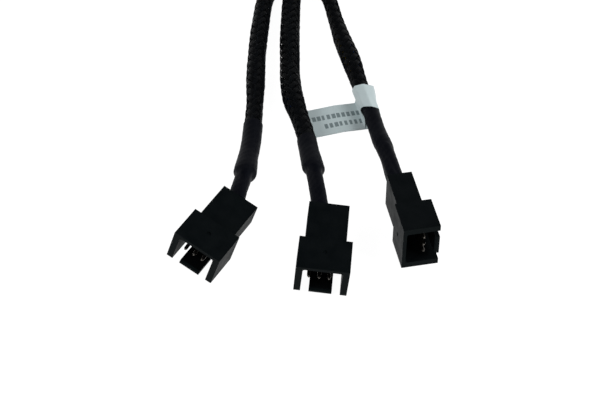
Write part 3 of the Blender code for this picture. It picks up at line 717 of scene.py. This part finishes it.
def shrink_radius(side, branch, at, angles):
    """Return a tube's outer radius at each distance and angle."""
    end = branch["shrink_end"]
    ridge = end - branch["ridge_to_end"]
    wide, high, neck = (table[side] * MM / 2 for table in (SHRINK_WIDE, SHRINK_RIDGE, SHRINK_NECK))
    place, angle = np.meshgrid(at, angles, indexing="ij")
    slant = RIDGE_SLANT[side] * MM * (1.0 - np.cos(angle)) + SLANT_WAVE * np.sin(3 * angle + 0.7)
    here = place - slant * ease((place - branch["shrink_start"]) / SLANT_EASE)
    before = wide + (high - wide) * ease((here - ridge + RIDGE_RISE) / RIDGE_RISE)
    fall = RIDGE_FALL + TOP_FALL * np.clip(np.sin(angle), 0.0, 1.0) ** 2
    after = neck + (high - neck) * ease(1 - (here - ridge - RIDGE_CREST) / fall)
    radius = np.where(here < ridge + RIDGE_CREST, before, after)
    over_wires = ease((here - ridge - RIBS_FROM) / RIBS_EASE)
    twist = branch["twist"] + (place - end) * RIB_TWIST
    ribs = np.abs(np.cos(branch["wires"] * (angle - twist) / 2)) - RIB_MEAN
    winding = 2 * np.pi * place / (BRAID_PITCH / WEAVE_LOBES)
    weave = np.cos(WEAVE_LOBES * angle + winding) * np.cos(WEAVE_LOBES * angle - winding)
    wrinkle = np.sin(place * 1900 + 2 * angle) * np.sin(angle * 3 + place * 700)
    return (radius + over_wires * RIB_HEIGHT * ribs + (1 - over_wires) * WEAVE_HEIGHT * weave
            + WRINKLE_HEIGHT * wrinkle)


# %% Loft the three tubes
SHRINK_SIDES = 48
SHRINK_STEP = 0.22 * MM
SHRINK_WALL = 0.35 * MM
SHRINK_SHARP = math.radians(70)
# Each further ring at the cut end: how far inside the outer surface, and how far along.
CUT_END = ((0.08 * MM, -0.08 * MM), (SHRINK_WALL, -0.05 * MM), (SHRINK_WALL, 1.2 * MM))
# Each further ring at the connector: its share of the last one's size, and how far along.
NOSE_END = ((0.96, 0.07 * MM), (0.86, 0.08 * MM))


def shrink_tube(side, branch):
    """Loft one shrink tube from its cut end over the braid to the bare wires."""
    start, end = branch["shrink_start"], branch["shrink_end"]
    count = int((end - start) / SHRINK_STEP)
    points = stretch_of(branch["line"], start, end, count)
    tangents, across, rise = frames_of(points)
    angles = np.linspace(0, 2 * np.pi, SHRINK_SIDES, endpoint=False)
    radius = shrink_radius(side, branch, np.linspace(start, end, count), angles)[..., None]
    rings = list(rings_round(points, across, rise, radius, angles))
    cut, last = rings[0] - points[0], rings[-1] - points[-1]
    for depth, ahead in CUT_END:
        rings.insert(0, points[0] + cut * ((radius[0] - depth) / radius[0]) + tangents[0] * ahead)
    for share, ahead in NOSE_END:
        rings.append(points[-1] + last * share + tangents[-1] * ahead)
    piece = loft(f"{side}_shrink_tube", rings, SHRUNK, SHRINK_SHARP)
    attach(piece, "root")
    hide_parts(f"{side}_heat_shrink")
    return piece


for side, branch in BRANCHES.items():
    print(side, "shrink tube:", triangles(shrink_tube(side, branch)), "triangles")

# %% [markdown]
# ## The joint
# Just past the edge of the picture the three sleeves meet side by side. One wide shrink tube
# covers their ends and narrows to the four wires of the input connector. Shrunk over three
# round sleeves, it keeps three soft humps at one end and four small ones at the other.

# %% Sizes of the joint
INPUT_BACK = -0.007
JOINT_LENGTH = 0.0257
JOINT_TO_INPUT = 0.0053
CONTACT_PITCH = 2.54 * MM
JOINT_STATIONS = 90
JOINT_SIDES = 96
JOINT_SHARP = math.radians(60)
JOINT_ROUNDNESS = 2 / 2.9
# Pairs are at the sleeves' end and at the wires' end.
JOINT_TALL = (3.35 * MM, 1.15 * MM)
JOINT_MIDDLE = (3.4 * MM, 2.4 * MM)
JOINT_DIP = (0.30, 0.22)
JOINT_SIDE_GAP = 0.0001
WIRE_SIDE_GAP = 1.05 * MM
SLEEVE_HUMP = 0.45 * MM
WIRE_HUMP = 0.75 * MM
NARROWS_FROM = 0.28
NARROWS_OVER = 0.55
CREASE_HEIGHT = 0.05 * MM
JOINT_CLEARANCE = 0.00003
MOUTH_SHRINK = np.array([0.955, 1.0, 0.88])
MOUTH_DEPTH = 0.4 * MM


def hump_over(x, centres, radii):
    """Return the height of the highest round hump at x, from 0 to 1."""
    return math.sqrt(max(0.0, max(1 - ((x - c) / r) ** 2 for c, r in zip(centres, radii))))


def signed_power(x, power):
    """Raise a number to a power and keep its sign."""
    return math.copysign(abs(x) ** power, x)


# %% Loft the joint


def joint_ring(y, mix, half_width):
    """Return one ring of the joint. The mix goes from 0 at the sleeves to 1 at the wires."""
    sleeves_at = [b["route"][0][0] for b in BRANCHES.values()]
    sleeve_radii = [b["diameter"] / 2 + SLEEVE_HUMP for b in BRANCHES.values()]
    wires_at = [(2.5 - n) * CONTACT_PITCH for n in (1, 2, 3, 4)]
    wide = (1 - mix) * (half_width - JOINT_SIDE_GAP) + mix * (wires_at[0] + WIRE_SIDE_GAP)
    tall = (1 - mix) * JOINT_TALL[0] + mix * JOINT_TALL[1]
    middle = (1 - mix) * JOINT_MIDDLE[0] + mix * JOINT_MIDDLE[1]
    ring = []
    for a in np.linspace(0, 2 * np.pi, JOINT_SIDES, endpoint=False):
        x = wide * signed_power(math.cos(a), JOINT_ROUNDNESS)
        z = tall * signed_power(math.sin(a), JOINT_ROUNDNESS)
        dip = (1 - mix) * JOINT_DIP[0] * (1 - hump_over(x, sleeves_at, sleeve_radii))
        dip += mix * JOINT_DIP[1] * (1 - hump_over(x, wires_at, [WIRE_HUMP] * 4))
        crease = CREASE_HEIGHT * math.sin(y * 1500 + 3 * a) * math.sin(5 * a + y * 420)
        z = max(z * (1 - dip) + crease * math.sin(a), JOINT_CLEARANCE - middle)
        ring.append((x, y, middle + z))
    return np.array(ring)


def joint_tube():
    """Loft the joint from the branch end to the wire end, with a hollow at each mouth."""
    y_input = INPUT_BACK - JOINT_TO_INPUT
    y_branch = y_input - JOINT_LENGTH
    _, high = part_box("joint_heat_shrink")
    rings = []
    for share in np.arange(JOINT_STATIONS) / (JOINT_STATIONS - 1):
        mix = float(ease((share - NARROWS_FROM) / NARROWS_OVER))
        rings.append(joint_ring(y_branch + (y_input - y_branch) * share, mix, high[0]))
    mouths = []
    for ring, y, inwards in ((rings[0], y_branch, 1), (rings[-1], y_input, -1)):
        centre = np.array([0.0, y, ring[:, 2].mean()])
        mouths.append(centre + (ring - centre) * MOUTH_SHRINK + np.array([0.0, MOUTH_DEPTH * inwards, 0.0]))
    piece = loft("joint_shrink_tube", [mouths[0], *rings, mouths[1]], SHRUNK, JOINT_SHARP)
    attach(piece, "root")
    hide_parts("joint_heat_shrink")
    return piece


print("joint:", triangles(joint_tube()), "triangles")

# %% [markdown]
# ## The flag label
# A strip of white vinyl film is folded round the right-hand branch and stuck to itself, so it
# makes a ring with a doubled tail. A real film is about 0.1 mm thick, and this one is 0.14 mm.
# It is slightly wavy and a little grey and cool, because it is thin and the black cable
# shades it. Two rows of plain grey marks stand where a label has its words.

# %% Vinyl film with two rows of marks
MARK_STEP = 1.47 * MM
MARK_HEIGHT = 1.9 * MM
MARK_INK = 0.8
MARK_SHARE = 0.5
MARK_SHARE_SPREAD = 0.3
ROW_SHIFT = 31.0
# Each row: its place across the film, and where it starts and stops along it.
MARK_ROWS = ((5.0 * MM, 1.4 * MM, 17.2 * MM), (8.6 * MM, 5.6 * MM, 16.9 * MM))


def vinyl_film():
    """Satin white film, with two rows of grey blocks placed by the film's own UV map."""
    made, tree, shader, place = new_material("white_vinyl_film")
    maths = "ShaderNodeMath"
    flat = add(tree, "ShaderNodeUVMap", uv_map="film")
    along, across, _ = add(tree, "ShaderNodeSeparateXYZ", {"Vector": flat.outputs["UV"]}).outputs
    marks = 0.0
    for row, (place_across, start, stop) in enumerate(MARK_ROWS):
        cell = add(tree, maths, {0: along, 1: 1.0 / MARK_STEP}, operation="MULTIPLY")
        which = add(tree, maths, {0: cell, 1: row * ROW_SHIFT}, operation="ADD")
        pick = add(tree, "ShaderNodeTexWhiteNoise", {"W": add(tree, maths, {0: which}, operation="FLOOR")},
                   noise_dimensions="1D").outputs["Value"]
        inside = add(tree, maths, {0: cell}, operation="FRACT")
        width = add(tree, maths, {0: pick, 1: MARK_SHARE_SPREAD, 2: MARK_SHARE}, operation="MULTIPLY_ADD")
        wide = add(tree, maths, {0: inside, 1: width}, operation="LESS_THAN")
        tall = add(tree, maths, {0: across, 1: place_across, 2: MARK_HEIGHT / 2}, operation="COMPARE")
        within = add(tree, maths, {0: along, 1: (start + stop) / 2, 2: (stop - start) / 2},
                     operation="COMPARE")
        block = add(tree, maths, {0: wide, 1: tall}, operation="MULTIPLY")
        block = add(tree, maths, {0: block, 1: within}, operation="MULTIPLY")
        marks = add(tree, maths, {0: marks, 1: block}, operation="MAXIMUM")
    ink = add(tree, maths, {0: marks, 1: MARK_INK}, operation="MULTIPLY")
    cloud = add(tree, "ShaderNodeTexNoise", {"Vector": place, "Scale": 240.0, "Detail": 3.0})
    film = add(tree, "ShaderNodeMix",
               {"Factor": cloud, "A": linear("#c3d0d2"), "B": linear("#b4c3c5")}, data_type="RGBA")
    paint = add(tree, "ShaderNodeMix", {"Factor": ink, "A": film, "B": linear("#57676a")}, data_type="RGBA")
    bump = add(tree, "ShaderNodeBump", {"Height": cloud, "Strength": 0.25, "Distance": 0.0002})
    feed(tree, shader, {"Base Color": paint, "Normal": bump, "Roughness": 0.42, "IOR": 1.5})
    return made


VINYL = vinyl_film()

# %% [markdown]
# ## Folding the film
# Seen from the end, the strip is a line: along the upper layer to the branch, up a short
# slope, round the branch, and back under it along the lower layer. Stiff film goes round in
# flat facets and not in a smooth circle. Each point of that line is then drawn out into a row
# across the film, and Solidify gives the sheet its thickness.

# %% The line of the film
RING_WIDTH = 9.9 * MM
LABEL_FILM = 0.14 * MM
LABEL_STATION = 0.0721
LABEL_REACH = 19.4 * MM
LABEL_RADIUS = 2.48 * MM
RING_STEPS = 56
RING_FACETS = 7
RING_TURN = 0.25
FACET_INSET = 0.98
RING_LEAVES = math.radians(222)
RING_SWEEP = RING_LEAVES + math.pi / 2 - 0.08
SLOPE_REACH = 0.6 * MM
SLOPE_STEPS = 12
FOOT_ARM = 0.7
TOP_ARM = 0.6
LOWER_LIFT = 0.55 * LABEL_FILM
UPPER_LIFT = 1.12 * LABEL_FILM
LOWEST = 0.45 * LABEL_FILM
TAIL_POINTS = 46
TAIL_WAVE = np.array([(-1.0, 0.02), (-0.8, 0.08), (-0.45, 0.42), (-0.2, 0.16), (0.0, 0.0)])


def film_line(floor):
    """Return the three stretches of the film's line: upper layer and slope, ring, lower layer."""
    ring = []
    for angle in RING_LEAVES - RING_SWEEP * np.arange(RING_STEPS + 1) / RING_STEPS:
        facet = (angle + RING_TURN) % (2 * math.pi / RING_FACETS) - math.pi / RING_FACETS
        reach = FACET_INSET * (LABEL_RADIUS + LABEL_FILM / 2) / math.cos(facet)
        ring.append((reach * math.cos(angle), reach * math.sin(angle)))
    xs = np.linspace(0.0, -LABEL_REACH, TAIL_POINTS)
    wave = np.interp(xs, TAIL_WAVE[:, 0] * LABEL_REACH, TAIL_WAVE[:, 1]) * MM
    lower = [(x, floor + LOWER_LIFT + w) for x, w in zip(xs, wave)]
    upper = [(x, z + UPPER_LIFT) for x, z in lower if x < ring[0][0] - SLOPE_REACH]
    foot, top = np.array(upper[0]), np.array(ring[0])
    foot_arm = foot + (FOOT_ARM * SLOPE_REACH, 0.0)
    top_arm = top - (0.0, TOP_ARM * (top[1] - foot[1]))
    slope = [(1 - t) ** 3 * foot + 3 * (1 - t) ** 2 * t * foot_arm + 3 * (1 - t) * t * t * top_arm
             + t ** 3 * top for t in np.linspace(0.0, 1.0, SLOPE_STEPS)[1:-1]]
    return [*reversed(upper)], slope, ring, lower[1:]


# %% Draw the line out into a sheet
FILM_ROWS = 22
UV_MARGIN = 5.2 * MM
RING_TAPER = 0.05
FILM_BULGE = 0.9 * MM
BULGE_FADE = 1.6
CURL_HEIGHT = 0.05 * MM
CURL_EASE = 6 * MM
RING_EASE_STEPS = 6
# Back and front edge in mm: tail end, fold, then the ring's left, top, right and bottom, lower end.
FILM_SIDES = np.array([(-4.5, 6.9), (-4.5, 6.9), (-7.0, 1.7), (-5.7, 4.2),
                       (-5.0, 4.6), (-4.5, 6.9), (-4.5, 6.9)]) * MM


def film_sheet(centre, across, along):
    """Return the points of the sheet, row by row, and their places on the flat film."""
    floor = -centre[2]
    upper, slope, ring, lower = film_line(floor)
    path = np.array([*upper, *slope, *ring, *lower])
    reach = np.concatenate([[0.0], np.cumsum(np.linalg.norm(np.diff(path, axis=0), axis=1))])
    ring_from = len(upper) + len(slope)
    ring_to = ring_from + len(ring)
    stops = [0, len(upper) - 1]
    stops += [ring_from + round(RING_STEPS * (RING_LEAVES - angle) / RING_SWEEP)
              for angle in (math.pi, math.pi / 2, 0.0)]
    stops += [ring_to, len(path) - 1]
    points, flat = [], []
    for i, ((x, z), s) in enumerate(zip(path, reach)):
        back, front = (np.interp(i, stops, FILM_SIDES[:, edge]) for edge in (0, 1))
        on_ring = ease((i - ring_from) / RING_EASE_STEPS) * ease((ring_to - i) / RING_EASE_STEPS)
        for share in np.arange(FILM_ROWS + 1) / FILM_ROWS:
            v = back + (front - back) * share
            narrow = 1.0 - RING_TAPER * on_ring * (share - 0.5)
            bulge = FILM_BULGE * on_ring * ease(x / LABEL_RADIUS) * ease(1.0 - BULGE_FADE * share)
            on_tail = min(1.0, max(0.0, -x / CURL_EASE - 0.5))
            curl = CURL_HEIGHT * math.sin(v * 520 + x * 300) * on_tail
            height = max(z + curl, floor + LOWEST) if x < 0 else z * narrow
            points.append(centre + across * (x * narrow + bulge) + UP * height + along * v)
            flat.append((s, v + UV_MARGIN))
    return points, flat


# %% Fold the film round the branch
FOLD_SHARP = math.radians(60)


def flag_label():
    """Fold a strip of film: a ring round the branch, then two layers side by side as the tail."""
    under = stretch_of(BRANCHES["right"]["line"], LABEL_STATION - RING_WIDTH / 2,
                       LABEL_STATION + RING_WIDTH / 2, 3)
    along = (under[-1] - under[0]) * (1, 1, 0)
    along /= np.linalg.norm(along)
    across = np.cross(UP, along)
    if across[0] < 0:
        across = -across
    points, flat = film_sheet((under[0] + under[-1]) / 2, across, along)
    count = FILM_ROWS + 1
    faces = [(i * count + k, i * count + k + 1, (i + 1) * count + k + 1, (i + 1) * count + k)
             for i in range(len(points) // count - 1) for k in range(FILM_ROWS)]
    sheet = mesh_object("flag_strip", points, faces)
    layer = sheet.data.uv_layers.new(name="film")
    for loop in sheet.data.loops:
        layer.data[loop.index].uv = flat[loop.vertex_index]
    wall = sheet.modifiers.new("film", "SOLIDIFY")
    wall.thickness = LABEL_FILM
    wall.offset = 0.0
    piece = finished(sheet, "folded_flag_label")
    fix_normals(piece)
    piece.data.set_sharp_from_angle(angle=FOLD_SHARP)
    piece.data.materials.clear()
    piece.data.materials.append(VINYL)
    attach(piece, "root")
    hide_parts("flag_label")
    return piece


print("label:", triangles(flag_label()), "triangles")

# %% [markdown]
# ## The sleeves
# Each braided sleeve is attached to the root like the other pieces, and the plain sleeve
# of the solid model is hidden.

for side, branch in BRANCHES.items():
    sleeve = sleeves[side]
    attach(sleeve, "root")
    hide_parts(f"{side}_sleeve")

# %% [markdown]
# ## Floor, world and lamps
# The cable lies on a white sweep under soft studio light. The floor and the world show the
# camera a plain white, while the light that reaches the cable is held at a level at which a
# colour renders about as written. A long soft box stands at each side and grazes the braid.
# What is glossy sees a bright horizon and a dim ceiling, so that black tops stay black while
# upright faces turn a soft grey.

# %% Floor
PAPER = 0.70
SEEN_PAPER = 0.18
SEEN_GLOW = 0.96
FLOOR_REACH = 3


def white_floor():
    """White sweep: seen or reflected it is nearly self-lit, so that the shadows stay faint."""
    made = bpy.data.materials.new("white_sweep")
    made.use_nodes = True
    tree = made.node_tree
    tree.nodes.remove(tree.nodes["Principled BSDF"])
    paper = add(tree, "ShaderNodeBsdfDiffuse", {"Color": (PAPER, PAPER, PAPER, 1.0)})
    thin = add(tree, "ShaderNodeBsdfDiffuse", {"Color": (SEEN_PAPER, SEEN_PAPER, SEEN_PAPER, 1.0)})
    glow = add(tree, "ShaderNodeEmission", {"Color": (1.0, 1.0, 1.0, 1.0), "Strength": SEEN_GLOW})
    seen = add(tree, "ShaderNodeAddShader", {0: thin, 1: glow})
    mix = add(tree, "ShaderNodeMixShader", {"Fac": background_rays(tree), 1: paper, 2: seen})
    tree.links.new(mix.outputs[0], tree.nodes["Material Output"].inputs["Surface"])
    return made


def background_rays(tree):
    """Return 1 for the rays that show a background: from the camera, off gloss and through glass."""
    rays = add(tree, "ShaderNodeLightPath").outputs
    shown = add(tree, "ShaderNodeMath", {0: rays["Is Camera Ray"], 1: rays["Is Glossy Ray"]},
                operation="MAXIMUM")
    return add(tree, "ShaderNodeMath", {0: shown, 1: rays["Is Transmission Ray"]}, operation="MAXIMUM")


corners = [(x * FLOOR_REACH, y * FLOOR_REACH, 0) for x, y in ((-1, -1), (1, -1), (1, 1), (-1, 1))]
floor = mesh_object("floor", corners, [(0, 1, 2, 3)], smooth=False)
floor.data.materials.append(white_floor())

# %% World
CEILING_FROM = 0.25
CEILING_TO = 0.55
CEILING_LIGHT = 0.12
WORLD_LIGHT = 0.30
world = bpy.data.worlds.new("studio")
bpy.context.scene.world = world
world.use_nodes = True
sky = world.node_tree
direction = add(sky, "ShaderNodeTexCoord").outputs["Generated"]
height = add(sky, "ShaderNodeSeparateXYZ", {"Vector": direction}).outputs["Z"]
ceiling = add(sky, "ShaderNodeMapRange", {"Value": height, "From Min": CEILING_FROM, "From Max": CEILING_TO,
                                          "To Min": 1.0, "To Max": CEILING_LIGHT})
camera_ray = add(sky, "ShaderNodeLightPath").outputs["Is Camera Ray"]
reflected = add(sky, "ShaderNodeMath", {0: ceiling, 1: camera_ray}, operation="MAXIMUM")
strength = add(sky, "ShaderNodeMix", {"Factor": background_rays(sky), "A": WORLD_LIGHT, "B": reflected},
               data_type="FLOAT")
sky.nodes["Background"].inputs["Color"].default_value = (1.0, 1.0, 1.0, 1.0)
sky.links.new(strength.outputs["Result"], sky.nodes["Background"].inputs["Strength"])

# %% Lamps
LAMP_AIM = (0.0, -0.13, 0.0)
LAMP_SIZE = (0.35, 0.5)


def soft_box(name, place, power):
    """Add a rectangular area lamp that looks at the cable."""
    lamp = bpy.data.lights.new(name, "AREA")
    lamp.shape = "RECTANGLE"
    lamp.size, lamp.size_y = LAMP_SIZE
    lamp.energy = power
    made = bpy.data.objects.new(name, lamp)
    bpy.context.scene.collection.objects.link(made)
    made.location = place
    made.rotation_euler = (Vector(LAMP_AIM) - Vector(place)).to_track_quat("-Z", "Y").to_euler()


soft_box("box_left", (-0.60, -0.35, 0.50), 2.75)
soft_box("box_right", (0.62, -0.30, 0.46), 4.6)

# %% View transform
bpy.context.scene.view_settings.view_transform = "Standard"
